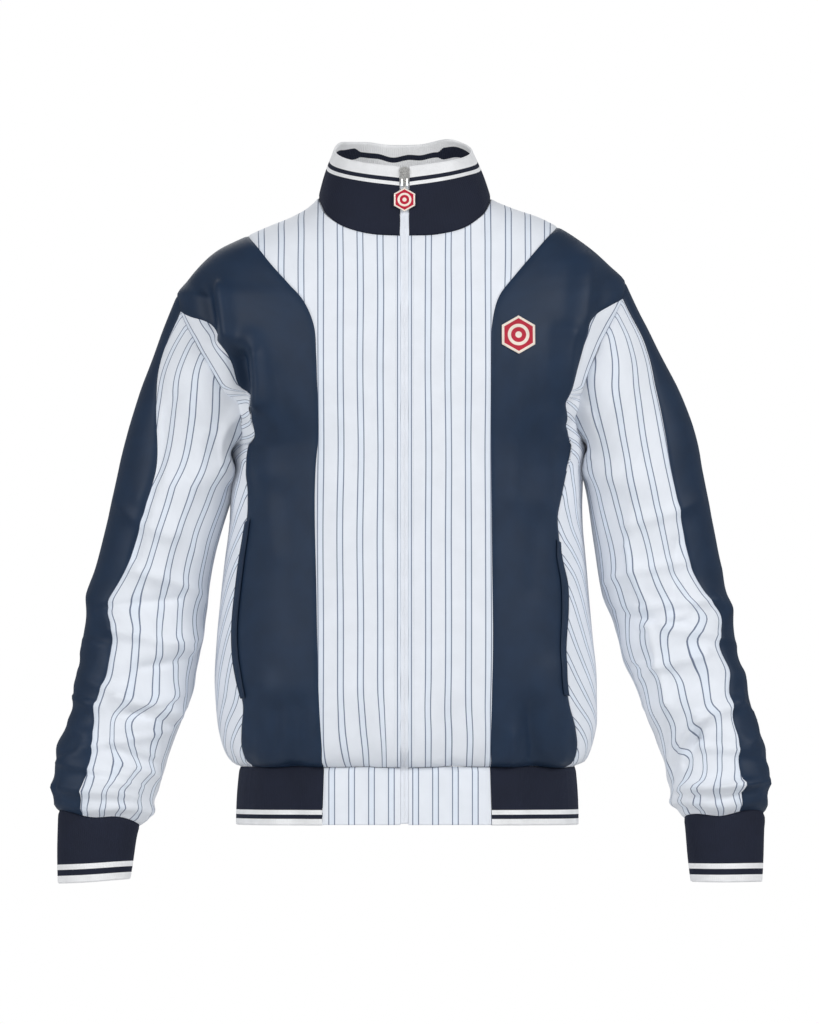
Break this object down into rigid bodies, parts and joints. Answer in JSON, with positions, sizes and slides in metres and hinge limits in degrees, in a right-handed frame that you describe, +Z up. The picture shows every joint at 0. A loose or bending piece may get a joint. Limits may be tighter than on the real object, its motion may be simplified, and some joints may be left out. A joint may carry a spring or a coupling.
{
  "type": "track jacket",
  "caption": "Zip-front track jacket in its worn shape, with striped panels, dark side and sleeve panels, ribbed stand collar, cuffs and waistband.",
  "frame": {"origin": "centre line of the wearer's neck at the base of the collar, where the jacket is held", "axes": "+Z up, -Y out of the jacket's front, +X to the wearer's left"},
  "size_m": [0.7889, 0.271, 0.8201],
  "materials": {
    "white_stripe_cloth": "soft sheen knit with fine stripes",
    "navy_cloth": "soft sheen knit",
    "navy_rib": "matt rib knit",
    "zip_tape": "woven tape with moulded teeth",
    "silver_metal": "bright cast metal",
    "red_enamel": "gloss enamel",
    "badge_cloth": "embroidered badge"
  },
  "bodies": {
    "jacket": {"front_centre_left": "white_stripe_cloth", "front_centre_right": "white_stripe_cloth", "side_front_left": "white_stripe_cloth", "side_front_right": "white_stripe_cloth", "side_back_left": "white_stripe_cloth", "side_back_right": "white_stripe_cloth", "back_centre": "white_stripe_cloth", "sleeve_under_left": "white_stripe_cloth", "sleeve_under_right": "white_stripe_cloth", "waistband_front_left": "white_stripe_cloth", "waistband_front_right": "white_stripe_cloth", "front_side_left": "navy_cloth", "front_side_right": "navy_cloth", "back_side_left": "navy_cloth", "back_side_right": "navy_cloth", "sleeve_outer_left": "navy_cloth", "sleeve_outer_right": "navy_cloth", "pocket_welt_left": "navy_cloth", "pocket_welt_right": "navy_cloth", "cuff_left": "navy_rib", "cuff_right": "navy_rib", "collar": "navy_rib", "waistband_rib": "navy_rib", "zip_chain": "zip_tape", "zip_slider": "silver_metal", "chest_badge": "badge_cloth"},
    "link": {"pull_link": "silver_metal"},
    "tag": {"pull_tag": "red_enamel"}
  },
  "joints": [
    {"name": "link_swing", "type": "hinge", "parent": "jacket", "child": "link", "pos_m": [0, -0.07565, 0.02079], "axis": [-1, 0, 0], "range_deg": [0, 140]},
    {"name": "tag_swing", "type": "hinge", "parent": "link", "child": "tag", "pos_m": [0, -0.07741, 0.01197], "axis": [-1, 0, 0], "range_deg": [0, 60]}
  ]
}
